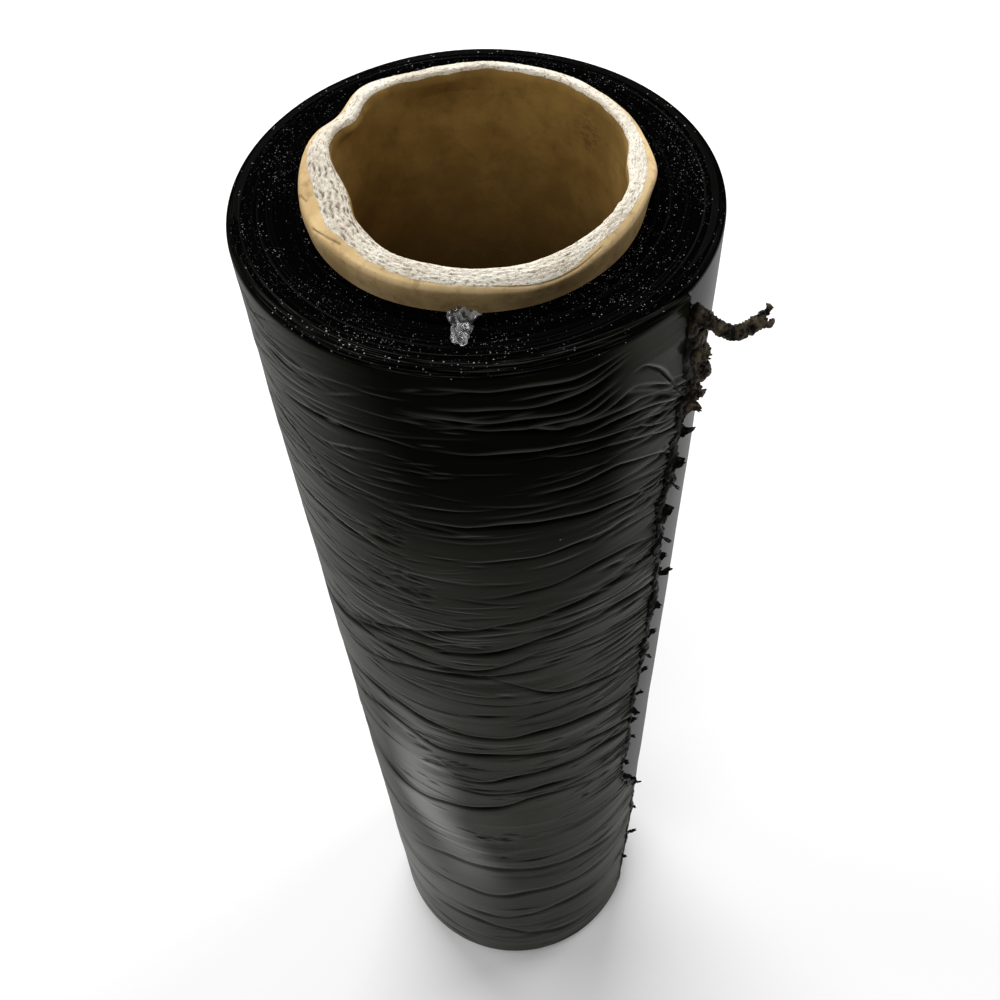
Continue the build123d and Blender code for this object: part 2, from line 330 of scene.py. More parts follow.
class Wire:
    """A value on its way through a finish: sums with it add the nodes that work them out."""

    def __init__(self, tree, socket):
        self.tree, self.socket = tree, socket

    def worked(self, operation, *others, clamp=False):
        return wire(self.tree, "ShaderNodeMath", 0, dict(enumerate((self, *others))),
                    operation=operation, use_clamp=clamp)

    def __mul__(self, other):
        return self.worked("MULTIPLY", other)

    def __add__(self, other):
        return self.worked("ADD", other)

    def __sub__(self, other):
        return self.worked("SUBTRACT", other)

    def __rsub__(self, other):
        return wire(self.tree, "ShaderNodeMath", 0, {0: other, 1: self}, operation="SUBTRACT")

    __rmul__, __radd__ = __mul__, __add__


def feed(tree, value, socket):
    if isinstance(value, Wire):
        tree.links.new(value.socket, socket)
    else:
        socket.default_value = value


def put(tree, kind, feeds=None, **settings):
    """Adds a node with these values fed in and gives its outputs."""
    made = tree.nodes.new(kind)
    for name, value in settings.items():
        setattr(made, name, value)
    for name, value in (feeds or {}).items():
        feed(tree, value, made.inputs[name])
    return made.outputs


def wire(tree, kind, output, feeds=None, **settings):
    return Wire(tree, put(tree, kind, feeds, **settings)[output])


def ranged(value, low, high, to_low=0.0, to_high=1.0):
    return wire(value.tree, "ShaderNodeMapRange", "Result", {
        "Value": value, "From Min": low, "From Max": high, "To Min": to_low, "To Max": to_high},
        interpolation_type="SMOOTHSTEP")


def mixed(share, *tones):
    first, second = (tone if isinstance(tone, Wire) else (*tone, 1) for tone in tones)
    return wire(share.tree, "ShaderNodeMix", 2, {0: share, 6: first, 7: second}, data_type="RGBA")


def scaled(vector, scale, place=(0, 0, 0)):
    return wire(vector.tree, "ShaderNodeMapping", "Vector", {
        "Vector": vector, "Scale": scale, "Location": place})


def clouds(vector, scale, detail=2.0, roughness=0.5, distortion=0.0):
    return wire(vector.tree, "ShaderNodeTexNoise", "Fac", {
        "Vector": vector, "Scale": scale, "Detail": detail, "Roughness": roughness,
        "Distortion": distortion})


def body_of(tree):
    return wire(tree, "ShaderNodeTexCoord", "Object")


def shares_of(tree, *names):
    return [wire(tree, "ShaderNodeAttribute", "Fac", attribute_name=name) for name in names]


def axes_of(vector):
    parts = put(vector.tree, "ShaderNodeSeparateXYZ", {"Vector": vector})
    return [Wire(vector.tree, parts[axis]) for axis in "XYZ"]


def from_axis(x, y):
    return (x * x + y * y).worked("SQRT")


def ring_of(x, y, outward, around):
    """Places drawn out round the roll's axis, for the edges of its turns."""
    return wire(x.tree, "ShaderNodeCombineXYZ", "Vector", {
        "X": from_axis(x, y) * outward, "Y": x * around, "Z": y * around})


def relief(height, distance, strength):
    return wire(height.tree, "ShaderNodeBump", "Normal", {
        "Height": height, "Distance": distance, "Strength": strength})


def new_finish(name):
    finish = bpy.data.materials.new(name)
    finish.use_nodes = True
    return finish, finish.node_tree


def finished(finish, looks):
    tree = finish.node_tree
    for name, value in looks.items():
        feed(tree, value, tree.nodes["Principled BSDF"].inputs[name])
    return finish


def new_group(name, takes, gives):
    """A group of nodes that takes a place and then numbers, and gives numbers."""
    group = bpy.data.node_groups.new(name, "ShaderNodeTree")
    for label in takes:
        group.interface.new_socket(label, in_out="INPUT", socket_type=(
            "NodeSocketVector" if label == "Place" else "NodeSocketFloat"))
    for label in gives:
        group.interface.new_socket(label, in_out="OUTPUT", socket_type="NodeSocketFloat")
    start = group.nodes.new("NodeGroupInput").outputs
    end = group.nodes.new("NodeGroupOutput").inputs
    return group, [Wire(group, start[label]) for label in takes], end


def dust_group():
    """Small pale specks scattered over a surface."""
    group, (place, grain, amount, size), gives = new_group(
        "dust_specks", ("Place", "Grain", "Amount", "Size"), ("Specks",))
    cells = put(group, "ShaderNodeTexVoronoi", {"Vector": place, "Scale": grain}, feature="F1")
    pick = put(group, "ShaderNodeSeparateColor", {"Color": Wire(group, cells["Color"])})
    red, green, blue = (Wire(group, pick[lane]) for lane in ("Red", "Green", "Blue"))
    chosen = red.worked("LESS_THAN", amount)
    inside = size * (green + 0.25) - Wire(group, cells["Distance"])
    spot = inside.worked("MULTIPLY", 9.0, clamp=True)
    strength = blue.worked("POWER", 3.0) * 0.9 + 0.1
    feed(group, spot * chosen * strength, gives["Specks"])
    return group


def crease_group():
    """Pleat lines drawn out along the first direction, and soft patches."""
    group, (place,), gives = new_group("film_creases", ("Place",), ("Height", "Patches"))
    heights = []
    for stretch, levels, start in (
            ((0.0085, 0.075, 0.075), 5.0, 3.0), ((0.014, 0.15, 0.15), 6.0, 41.0)):
        field = clouds(scaled(place, stretch, (start, start, start)), 1.0, 2.0, 0.42, 0.3)
        step = (field * levels).worked("FRACT")
        seen = clouds(scaled(place, (0.021, 0.07, 0.07), (start, 0, 7)), 1.0, 1.0)
        heights.append(step * ranged(seen, 0.42, 0.60))
    feed(group, heights[0] + heights[1], gives["Height"])
    feed(group, clouds(scaled(place, (0.012, 0.03, 0.03)), 1.0, 3.0), gives["Patches"])
    return group


DUST = dust_group()
CREASES = crease_group()


def dust(place, grain, amount, size):
    return wire(place.tree, "ShaderNodeGroup", "Specks", {
        "Place": place, "Grain": grain, "Amount": amount, "Size": size}, node_tree=DUST)


def creases(place, stretch):
    drawn = put(place.tree, "ShaderNodeGroup", {"Place": scaled(place, stretch)},
                node_tree=CREASES)
    return [Wire(place.tree, drawn[label]) for label in ("Height", "Patches")]


def wrap_finish():
    """The stretched black film of the roll's side."""
    finish, tree = new_finish("black_wrap")
    wrap = wire(tree, "ShaderNodeUVMap", "UV", uv_map="wrap")
    place = scaled(wrap, (FILM_GIRTH, FILM_RUN, 1.0))
    turn, up, _ = axes_of(wrap)
    over, furrow, crest = shares_of(tree, "shoulder", "furrow", "crest")
    taut = ranged(turn, 0.86, 0.94)
    patches = clouds(scaled(place, (0.012, 0.03, 0.03)), 1.0, 3.0)
    strain = clouds(scaled(place, (0.010, 0.45, 1.0)), 1.0, 2.0, 0.5)
    rings = clouds(scaled(place, (0.05, 3.2, 1.0)), 1.0, 3.0, 0.65)
    body = body_of(tree)
    rim_dust = dust(body, 1300.0, ranged(over, 0.1, 0.5, 0.0, 0.85) * (
        ranged(turn, 0.10, 0.15, 0.25, 1.0) * ranged(turn, 0.24, 0.32, 1.0, 0.25)), 0.27)
    specks = dust(body, 300.0, 0.035, 0.10).worked("MAXIMUM", rim_dust)
    dull = ranged(patches, 0.3, 0.7)
    flap = turn - ranged(up, 0.92, 0.95, 0.0, 0.004)
    # Painted shade: the top of the front is made darker and less glossy
    high = (ranged(up, 0.73, 0.93) * ranged(turn, 0.19, 0.285, 0.96, 0.0)
            * ranged(flap, 0.03, 0.072))
    # Painted light: more gloss low at the left
    low = ranged(up, 0.10, 0.40, 1.0, 0.0) * ranged(turn, 0.16, 0.26)
    # A painted window reflection: a soft patch of extra gloss on the lower left
    painted_reflection = (ranged(turn, 0.175, 0.22) * ranged(turn, 0.225, 0.275, 1.0, 0.0)) * (
        ranged(up, 0.18, 0.40) * ranged(up, 0.48, 0.68, 1.0, 0.0))
    streaks = (strain - 0.5) * ranged(up, 0.40, 0.75, 0.25, 1.0)
    # How much of the windows the film gives back: its gloss, with painted shade high up at the
    # front, painted light low at the left and a painted window reflection on the lower left
    gloss_and_painted_light = (ranged(turn, 0.06, 0.30, 0.215, 0.22) + dull * 0.05) * (1 - high)
    gloss_and_painted_light = (gloss_and_painted_light * (1 + low * 0.75) + painted_reflection * 0.62) * (1 + streaks * 0.9)
    gloss_and_painted_light = gloss_and_painted_light * (1 - taut) + ranged(up, 0.56, 0.72, 0.31, 0.34) * taut
    # Painted shade in the furrows and painted highlights on the crests, as less and more gloss,
    # and the reflection painted out on the shoulder
    crest = crest * ranged(high, 0.2, 0.9, 1.0, 0.55)
    gloss_and_painted_light = gloss_and_painted_light * (1 - furrow * 0.96) + crest * 0.45
    gloss_and_painted_light = gloss_and_painted_light.worked("MULTIPLY", ranged(over, 0.02, 0.4, 1.0, 0.03), clamp=True)
    # Olive black at the front and plain black at the back, with painted shade high up at the
    # front, in the furrows and on the shoulder, and painted highlights on the crests
    tone = mixed(dull, (0.0096, 0.0102, 0.0040), (0.0152, 0.0160, 0.0068))
    back = mixed(dull, (0.0042, 0.0042, 0.0037), (0.0070, 0.0070, 0.0062))
    tone = mixed(ranged(turn, 0.33, 0.45), tone, back)
    # Painted shade high up at the front
    tone = mixed(high * 0.9, tone, (0.0012, 0.0012, 0.0010))
    # Painted shade in the furrows and on the shoulder
    tone = mixed(furrow.worked("MAXIMUM", ranged(over, 0.0, 0.22, 0.0, 0.94)),
                 tone, (0.0005, 0.0005, 0.0004))
    # Painted highlights on the crests
    tone = mixed(crest, tone, (0.095, 0.096, 0.084))
    tone = mixed(ranged(rings, 0.48, 0.72) * (
        ranged(over, 0.02, 0.2) * ranged(turn, 0.30, 0.40, 1.0, 0.15)),
        tone, (0.030, 0.030, 0.029))
    return finished(finish, {
        "Base Color": mixed(specks, tone, (0.5, 0.5, 0.48)),
        "Roughness": ranged(patches, 0.3, 0.7, 0.3, 0.45), "Specular IOR Level": 0.0,
        "Coat Weight": gloss_and_painted_light, "Coat Roughness": 0.2, "Normal": relief(streaks, 0.0001, 0.2)})


def film_end_finish():
    """The edges of the film's turns, seen at the ends of the roll."""
    finish, tree = new_finish("film_edges")
    body = body_of(tree)
    x, y, _ = axes_of(body)
    lines = clouds(scaled(ring_of(x, y, 1000.0, 9.0), (2.2, 1.0, 1.0)), 1.0, 3.0, 0.65)
    patches = clouds(body, 45.0, 3.0)
    fine = dust(body, 2100.0, ranged(patches, 0.36, 0.66, 0.12, 0.85), 0.30)
    specks = (fine * 0.55).worked("MAXIMUM", dust(body, 750.0, 0.10, 0.115))
    dusted = ranged(lines, 0.52, 0.75) * ranged(from_axis(x, y), 0.052, 0.060, 0.25, 1.0)
    tone = mixed(dusted, (0.0009, 0.0009, 0.0009), (0.021, 0.021, 0.0205))
    return finished(finish, {
        "Base Color": mixed(specks, tone, (0.55, 0.55, 0.53)),
        "Roughness": ranged(lines, 0.3, 0.7, 0.45, 0.6), "Specular IOR Level": 0.0,
        "Normal": relief(lines, 0.0002, 0.6)})


def torn_film_finish():
    """Crumpled film of the torn edge: black, turning brown high up where it stands out."""
    finish, tree = new_finish("torn_film")
    body = body_of(tree)
    height, _ = creases(body, (5200.0, 5200.0, 2600.0))
    patches = clouds(body, 420.0, 3.0, 0.6)
    x, y, z = axes_of(body)
    brown_share = (ranged(z, 0.40, 0.435, 0.03, 1.0) * ranged(patches, 0.38, 0.70)
             * ranged(from_axis(x, y), 0.0628, 0.0655, 0.05, 1.0))
    tone = mixed(brown_share, (0.0040, 0.0036, 0.0028), (0.115, 0.090, 0.058))
    return finished(finish, {
        "Base Color": mixed(dust(body, 700.0, 0.05, 0.16), tone, (0.22, 0.19, 0.15)),
        "Roughness": ranged(patches, 0.3, 0.7, 0.34, 0.55), "Specular IOR Level": 0.05,
        "Normal": relief(height, 0.0002, 0.7)})


def board_finish():
    """Wound paperboard: tan outside and in, with bared cream plies at the bruised rim."""
    finish, tree = new_finish("wound_board")
    body = body_of(tree)
    x, y, z = axes_of(body)
    bared, gap, inside, painted_light_share, cracks_and_shadow_line = shares_of(tree, "bared", "gap", "inside", "painted_light_share", "cracks_and_shadow_line")
    mottle = clouds(body, 75.0, 4.0, 0.6)
    fibre = clouds(scaled(body, (900.0, 900.0, 900.0)), 1.0, 4.0, 0.7)
    plies = clouds(ring_of(x, y, 3000.0, 950.0), 1.0, 4.0, 0.7)
    smudges = clouds(body, 260.0, 4.0, 0.68)
    scuffs = clouds(scaled(body, (420.0, 420.0, 1100.0)), 1.0, 3.0, 0.6)
    blotches = ranged(mottle, 0.35, 0.65)
    # Painted light and shade on the tan: lighter on the lip's top and on the left side, where the
    # light falls, darker on the wall below
    painted_shade_tan = mixed(blotches, (0.39, 0.25, 0.10), (0.57, 0.39, 0.175))
    painted_lit_tan = mixed(blotches, (0.70, 0.49, 0.235), (0.84, 0.62, 0.32))
    inner = mixed(ranged(mottle, 0.35, 0.68), (0.29, 0.172, 0.040), (0.42, 0.255, 0.066))
    # Painted shade: the bore's wall darkens with depth
    inner = mixed(ranged(z, 0.394, 0.471, 0.98, 0.0), inner, (0.055, 0.024, 0.001))
    far = wire(tree, "ShaderNodeVectorMath", "Value", {0: body, 1: BORE_SCUFF},
               operation="DISTANCE")
    scuffed = ranged(far, 0.002, 0.008, 1.0, 0.0) * ranged(scuffs, 0.42, 0.54, 1.0, 0.0)
    board = mixed(inside, mixed(painted_light_share, painted_shade_tan, painted_lit_tan), inner)
    for share, tone in (
            (ranged(fibre, 0.58, 0.8, 0.0, 0.45), (0.20, 0.13, 0.06)),
            (ranged(smudges, 0.48, 0.72, 0.0, 0.4), (0.15, 0.088, 0.026)),
            (scuffed * 0.4, (0.07, 0.04, 0.008)),
            # Darker in the cracks, and a painted shadow line under the cream overhang
            (ranged(cracks_and_shadow_line, 0.3, 0.9, 0.0, 0.6), (0.13, 0.085, 0.04))):
        board = mixed(share, board, tone)
    cream = mixed(ranged(mottle, 0.38, 0.62), (0.80, 0.72, 0.59), (0.95, 0.89, 0.76))
    cream = mixed(ranged(plies, 0.31, 0.48), (0.26, 0.20, 0.14), cream)
    cream = mixed(ranged(fibre, 0.56, 0.68, 0.0, 0.7), cream, (0.34, 0.275, 0.20))
    cream = mixed(gap, cream, (0.15, 0.115, 0.08))
    shown = ranged(bared + (clouds(body, 420.0, 4.0, 0.65) - 0.5) * 0.9, 0.42, 0.58)
    return finished(finish, {
        "Base Color": mixed(shown, board, cream),
        "Roughness": ranged(fibre, 0.3, 0.7, 0.72, 0.9), "Specular IOR Level": 0.3,
        "Normal": relief(fibre * 0.4 + plies * shown * 1.4, 0.00025, 0.8)})


def clear_film_finish():
    """A crumpled scrap of clear film."""
    finish, tree = new_finish("clear_scrap")
    body = body_of(tree)
    height, patches = creases(body, (2400.0, 2400.0, 2400.0))
    # Painted glints: white patches in the base colour stand in for highlights
    glints = ranged(clouds(body, 420.0, 2.0, 0.6), 0.42, 0.60)
    return finished(finish, {
        "Base Color": mixed(glints, (0.16, 0.165, 0.17), (0.97, 0.98, 0.99)),
        "Roughness": ranged(patches, 0.3, 0.7, 0.04, 0.16),
        "Transmission Weight": 0.8, "IOR": 1.5, "Normal": relief(height, 0.0002, 0.9)})


# The roll's side


def edge_run(height):
    """Where the torn edge runs at each height."""
    share = (np.asarray(height) - FILM_BOTTOM) / FILM_WIDTH
    places, angles = np.array(TORN_EDGE_RUN).T
    return np.interp(share, places, angles)


def edge_angle(height):
    """The torn edge's run with its small jags."""
    return edge_run(height) + 0.5 * np.sin(height / 3.1) + 0.35 * np.sin(height / 1.37 + 1)


def bunching(turn, rise):
    """Draws the rows of the film together at the bunches of the torn edge."""
    pull = np.zeros_like(rise)
    for share in BUNCHES:
        away = (rise - share * FILM_WIDTH) / BUNCH_REACH
        pull -= BUNCH_PULL * away * np.exp(-away * away / 2)
    return pull * np.exp(-turn / 0.05)


def upward_sweep(turn, rise):
    """Lifts the film's top over the shoulder beside the torn edge, and lets it dip below that."""
    below = np.clip(FILM_WIDTH - rise, 0, None)
    lift = 0.8 * below * bell(below, 18) * smooth(0.092, 0.042, turn)
    dip = 4.5 * bell(turn, 0.035) * smooth(11, 25, below) * smooth(48, 26, below)
    return lift - dip


class FilmFolds:
    """The folds drawn on a part of the film: how far it stands out, the painted shade of its
    furrows and the painted highlights of its crests.
    """

    def __init__(self, turn, rise):
        self.turn, self.rise = turn, rise
        self.height = np.zeros_like(rise)
        self.furrow = np.zeros_like(rise)
        self.crest = np.zeros_like(rise)

    def draw(self, line, depth, width, fade, dark, lit, uneven=0.45):
        """One fold: a narrow furrow with a lit crest above it and a soft swell below."""
        turns, rises = line
        near = np.flatnonzero(
            (self.turn > turns[0]) & (self.turn < turns[-1])
            & (self.rise > rises.min() - 8 * width) & (self.rise < rises.max() + 8 * width))
        if not near.size:
            return
        at = self.turn[near]
        beat = 0.5 + 0.3 * np.sin(45 * at + rises[0]) + 0.2 * np.sin(118 * at + 2 * rises[0])
        away = (self.rise[near] - np.interp(at, turns, rises)) / (width * (0.7 + 0.6 * beat))
        share = (at - turns[0]) / (turns[-1] - turns[0])
        first, last = fade
        strength = smooth(0, 1, share / first if first else 1 + 0 * share) * smooth(
            0, 1, (1 - share) / last)
        strength = strength * (1 - uneven * (1 - beat))
        furrow = strength * np.exp(-(away * away)**1.6)
        crest = strength * bell(away - 1.6, 0.7)
        swell = strength * bell(away + 3.2, 2.4)
        self.height[near] += depth * (0.5 * crest + 0.35 * swell - furrow)
        # The furrow's darkness is painted shade and the crest's brightness a painted highlight
        self.furrow[near] = np.maximum(self.furrow[near], dark * furrow)
        self.crest[near] = np.maximum(self.crest[near], lit * crest)


def long_folds(folds):
    for index, (depth, width, points) in enumerate(LONG_FOLDS):
        turns, rises = eased(points, (10,) * (len(points) - 1)).T
        rises = rises + 0.35 * np.sin(60 * turns + index) + 0.2 * np.sin(150 * turns + 2 * index)
        starts_at_edge = points[0][0] == 0
        high, low = points[0][1] > 370, points[0][1] < 150
        folds.draw((turns, rises), depth * (0.5 if low else 1), width * (1 if high else 1.25),
                   (0.0 if starts_at_edge else 0.25, 0.3), 0.75 if low else 1.0,
                   0.8 if high else 0.15, 0.3)


def edge_pleats(folds, count=300):
    """Pleats that fan out from the torn edge, close together at its bunches."""
    dice = np.random.default_rng(11)
    middles = np.array(BUNCHES) * FILM_WIDTH
    for _ in range(count):
        if dice.random() < 0.5:
            rise = dice.choice(middles) + dice.normal(0, 9)
        else:
            rise = dice.uniform(2, FILM_WIDTH - 26)
        rise = min(rise, FILM_WIDTH - 24)
        if rise < 190 and dice.random() < 0.8:
            continue
        reach = 0.015 + 0.085 * dice.random()**1.6
        start = 0.0 if dice.random() < 0.75 else dice.uniform(0.005, 0.05)
        turns = np.linspace(start, start + reach, 13)
        wave = dice.uniform(0, FULL_WAVE)
        rises = (rise - dice.uniform(3, 9) * np.exp(-turns / 0.03) + dice.normal(10, 40) * turns
                 + 0.2 * np.sin(90 * turns + wave))
        width = dice.uniform(0.38, 0.70) * (1 + 1.1 * (1 - rise / FILM_WIDTH))
        lit = dice.uniform(0.1, 0.8) * (0.25 + 0.75 * smooth(230, 380, rise))
        folds.draw((turns, rises), dice.uniform(0.14, 0.38), width,
                   (0.0 if start == 0 else 0.35, 0.7), dice.uniform(0.85, 1), lit)


def leaning_line(dice, middle, reach, steps, rise, lean, sway, waves):
    """The run of a short crease: it leans and sways by a random amount."""
    turns = np.linspace(middle - reach, middle + reach, steps)
    rises = rise + dice.normal(*lean) * (turns - middle)
    return turns, rises + dice.uniform(*sway) * np.sin(waves * turns + dice.uniform(0, FULL_WAVE))


def hair_creases(folds, count=620):
    """Thin creases all round the roll, most of them short."""
    dice = np.random.default_rng(23)
    for _ in range(count):
        middle = dice.uniform(0.05, 0.36) if dice.random() < 0.65 else dice.uniform(0.3, 0.93)
        reach = 0.010 + 0.06 * dice.random()**2
        rise = dice.uniform(2, FILM_WIDTH - 8)
        if rise < 210 and dice.random() < 0.9:
            continue
        line = leaning_line(dice, middle, reach, 11, rise, (0, 26), (0.1, 0.6), 70)
        width = dice.uniform(0.26, 0.55) * (1 + 1.5 * (1 - rise / FILM_WIDTH))
        lit = dice.uniform(0, 0.7) * (0.2 + 0.8 * smooth(230, 380, rise))
        folds.draw(line, dice.uniform(0.06, 0.22), width, (0.5, 0.5),
                   dice.uniform(0.3, 1), lit)


def side_creases(folds, count=170):
    """Fine creases with painted highlights, high on the roll's far side from the torn edge."""
    dice = np.random.default_rng(67)
    for _ in range(count):
        middle = dice.uniform(0.15, 0.36)
        reach = 0.008 + 0.04 * dice.random()**1.5
        rise = FILM_WIDTH - 6 - 150 * dice.random()**1.2
        line = leaning_line(dice, middle, reach, 11, rise, (-35, 45), (0.1, 0.5), 80)
        folds.draw(line, dice.uniform(0.08, 0.22), dice.uniform(0.28, 0.48), (0.5, 0.5),
                   dice.uniform(0.4, 1), dice.uniform(0.2, 0.9))


def soft_bands(folds, count=90):
    """Wide shallow sags between the creases, with painted shade in them, more of them towards the
    foot.
    """
    dice = np.random.default_rng(41)
    for _ in range(count):
        middle = dice.uniform(0.02, 0.9)
        reach = dice.uniform(0.03, 0.11)
        low = 1 - dice.random()**1.5
        rise = FILM_WIDTH * (1 - low) * 0.8 + 6
        line = leaning_line(dice, middle, reach, 15, rise, (0, 30), (0.5, 2), 40)
        folds.draw(line, dice.uniform(0.10, 0.30), dice.uniform(1.8, 4.0), (0.5, 0.5),
                   dice.uniform(0.15, 0.5), dice.uniform(0, 0.08))


def crumples(folds):
    """Small knots of creases where the film slipped."""
    dice = np.random.default_rng(5)
    for turn, rise, wide, tall in CRUMPLES:
        for _ in range(16):
            middle = turn + wide * dice.normal(0, 0.5)
            reach = dice.uniform(0.006, 0.018)
            turns = np.linspace(middle - reach, middle + reach, 11)
            rises = (rise + tall * dice.normal(0, 0.55) + dice.normal(0, 110) * (turns - middle)
                     + 0.7 * np.sin(160 * turns + dice.uniform(0, FULL_WAVE)))
            folds.draw((turns, rises), dice.uniform(0.2, 0.5), dice.uniform(0.35, 0.7), (0.5, 0.5),
                       dice.uniform(0.3, 0.9), dice.uniform(0.1, 0.5))


def gathered_folds(turn, rise):
    """The solid's own folds of the last turn, as soft swells under the creases."""
    half = turn / 0.5
    pitch = (FILM_WIDTH - 2 * FOLD_CLEAR_END) / FOLDS
    total = np.zeros_like(rise)
    for index in range(FOLDS):
        crest = FOLD_CLEAR_END + pitch * (index + 0.15 + 0.5 * scatter(index)) + FOLD_LIP
        tall = 0.26 * (0.6 + 1.4 * scatter(index, 1))
        above = rise - crest
        shape = np.where(above > 0, np.exp(-above / (2.5 + 5 * scatter(index, 9))),
                         bell(above, 2.0))
        swell = np.maximum(0, np.sin(np.pi * ((1 + index % 3) * half + 2 * scatter(index, 2))))
        strength = (np.exp(-half / 0.16) + 0.35 * swell**4) * np.clip(5 * (1 - half), 0, 1)
        total += tall * strength * shape
    return total


def film_band(name, low, high, finish):
    """One band of the film's side, from one share of its profile to another."""
    columns, arc = 256, math.pi / 2 * FILM_SHOULDER
    tuck = 1.6
    piece, column, up_band = open_tube(name, columns, 21, 16)
    share = low + (high - low) * up_band
    steps = np.linspace(0, 1, 2001)
    closeness = 1 / (0.22 + 0.30 * smooth(0, 0.12, steps) + 0.75 * smooth(0.30, 0.42, steps)
                     - 0.6 * smooth(0.86, 1, steps))
    counted = np.concatenate(([0], np.cumsum(closeness)[:-1]))
    turn = np.interp(column / (columns - 1), counted / counted[-1], steps * 0.9988)
    length = FILM_WIDTH - 2 * FILM_SHOULDER
    path = share * (length + 2 * arc + 2 * tuck) - tuck - arc
    rise = np.clip(path, -arc, length + arc) + FILM_SHOULDER
    bunched = rise + bunching(turn, rise) + upward_sweep(turn, rise)
    along = np.clip(bunched - FILM_SHOULDER, -arc, length + arc)
    round_over = (np.clip(along, None, 0) + np.clip(along - length, 0, None)) / FILM_SHOULDER
    tucked = np.clip(-arc - path, 0, None) + np.clip(path - length - arc, 0, None)
    lift = np.clip(along, 0, length)
    out, up = np.cos(round_over), np.sin(round_over)
    folds = FilmFolds(turn, rise)
    for drawn in (long_folds, edge_pleats, hair_creases, side_creases, soft_bands, crumples):
        drawn(folds)
    places = grid_of(turn * FILM_GIRTH, rise, 0)
    slack = rough(places * (0.011, 0.022, 1), 3.1, 2)
    small = creased(places * (0.016, 0.24, 1), 5.3, 2)
    loose = 0.25 + 0.75 * smooth(0.93, 0.80, turn)
    patch = smooth(-0.2, 0.5, rough(places * (0.02, 0.035, 1), 8.7, 2))
    height = 0.30 * slack + loose * (
        gathered_folds(turn, rise) + folds.height
        + (0.01 + 0.05 * patch) * (0.15 + 0.85 * smooth(220, 400, rise)) * small)
    height += LAST_TURN_STEP * np.clip(1 - turn / 0.5, 0, 1)**1.3
    height *= 1 - 0.8 * smooth(0.75, 1.0, np.abs(round_over) / (np.pi / 2))
    level = FILM_BOTTOM + FILM_SHOULDER + lift
    near_edge = np.exp(-turn / 0.012) + np.exp(-(1 - turn) / 0.012)
    angle = edge_run(level) + near_edge * (edge_angle(level) - edge_run(level)) - 360 * turn
    radius = FILM_RADIUS - FILM_SHOULDER + (FILM_SHOULDER + height) * out - tucked
    set_points(piece, round_the_axis(radius, angle, level + (FILM_SHOULDER + height) * up))
    lay_wrap_map(piece, turn, share)
    keep_share(piece, "shoulder", np.abs(round_over) / (np.pi / 2))
    # A painted shadow along the torn edge, ragged and wider high up, kept with the furrows'
    # painted shade
    ragged = 0.7 + 0.5 * rough(grid_of(0, rise * 0.21, 0), 2.4, 3)
    wide = np.clip(0.45 + rough(grid_of(0, rise * 0.13, 0), 6.6, 2), 0, 1)
    wide = 0.005 + 0.014 * wide * smooth(200, 380, rise)
    shade = np.clip(ragged, 0.2, 1) * bell(turn, wide)
    keep_share(piece, "furrow", np.maximum(folds.furrow, shade))
    keep_share(piece, "crest", folds.crest)
    smooth_faces(piece, 75)
    hand_over(piece, finish, "black_film", "film_roll")


def film_wall(finish):
    edges = np.linspace(0, 1, 5)
    for index in range(4):
        film_band(f"film_wall_{index}", edges[index], edges[index + 1], finish)


def film_end(name, level, upward, finish):
    """One end of the film: the edges of its turns, in bands that stand a little apart."""
    columns, inner, outer = 300, 40.6, FILM_RADIUS - 1.2
    piece, column, share = open_tube(name, columns, 9, 6)
    radius = inner + (outer - inner) * share
    angle = 360 * column / columns
    turned = np.radians(angle)
    ring = grid_of(radius * 1.9, 1.1 * np.cos(turned), 1.1 * np.sin(turned))
    waves = grid_of(radius * 0.09, 1.6 * np.cos(turned), 1.6 * np.sin(turned))
    height = 0.16 * rough(ring, 4.4, 2) + 0.28 * rough(waves, 9.2, 2)
    band = (radius - CORE_RADIUS) / (FILM_RADIUS - CORE_RADIUS) * 5
    height += 0.2 * np.abs(np.sin(np.pi * band)) - 0.25
    height -= bell(radius - CORE_RADIUS, 6.5)
    rounded = FILM_RADIUS - FILM_SHOULDER
    height -= np.clip(radius - rounded, 0, None)**2 / (2 * FILM_SHOULDER)
    set_points(piece, round_the_axis(radius, -upward * angle, level + upward * height))
    merge_points(piece)
    smooth_faces(piece, 60)
    hand_over(piece, finish, "black_film", "film_roll")


# The core


def cracks_at(angle, across):
    """How deep each place on the rim lies in one of its cracks, the painted shadow line among
    them, from 0 to 1.
    """
    deep = np.zeros_like(angle)
    for points in RIM_CRACKS:
        for (a, b), (c, d) in zip(points, points[1:]):
            span = np.array([(c - a) * 0.75, (d - b) * 1.1])
            x = turn_from(angle, a) * 0.75
            y = (across - b) * 1.1
            along = np.clip((x * span[0] + y * span[1]) / (span @ span), 0, 1)
            away = np.hypot(x - along * span[0], y - along * span[1])
            deep = np.maximum(deep, bell(away, 0.26))
    return deep


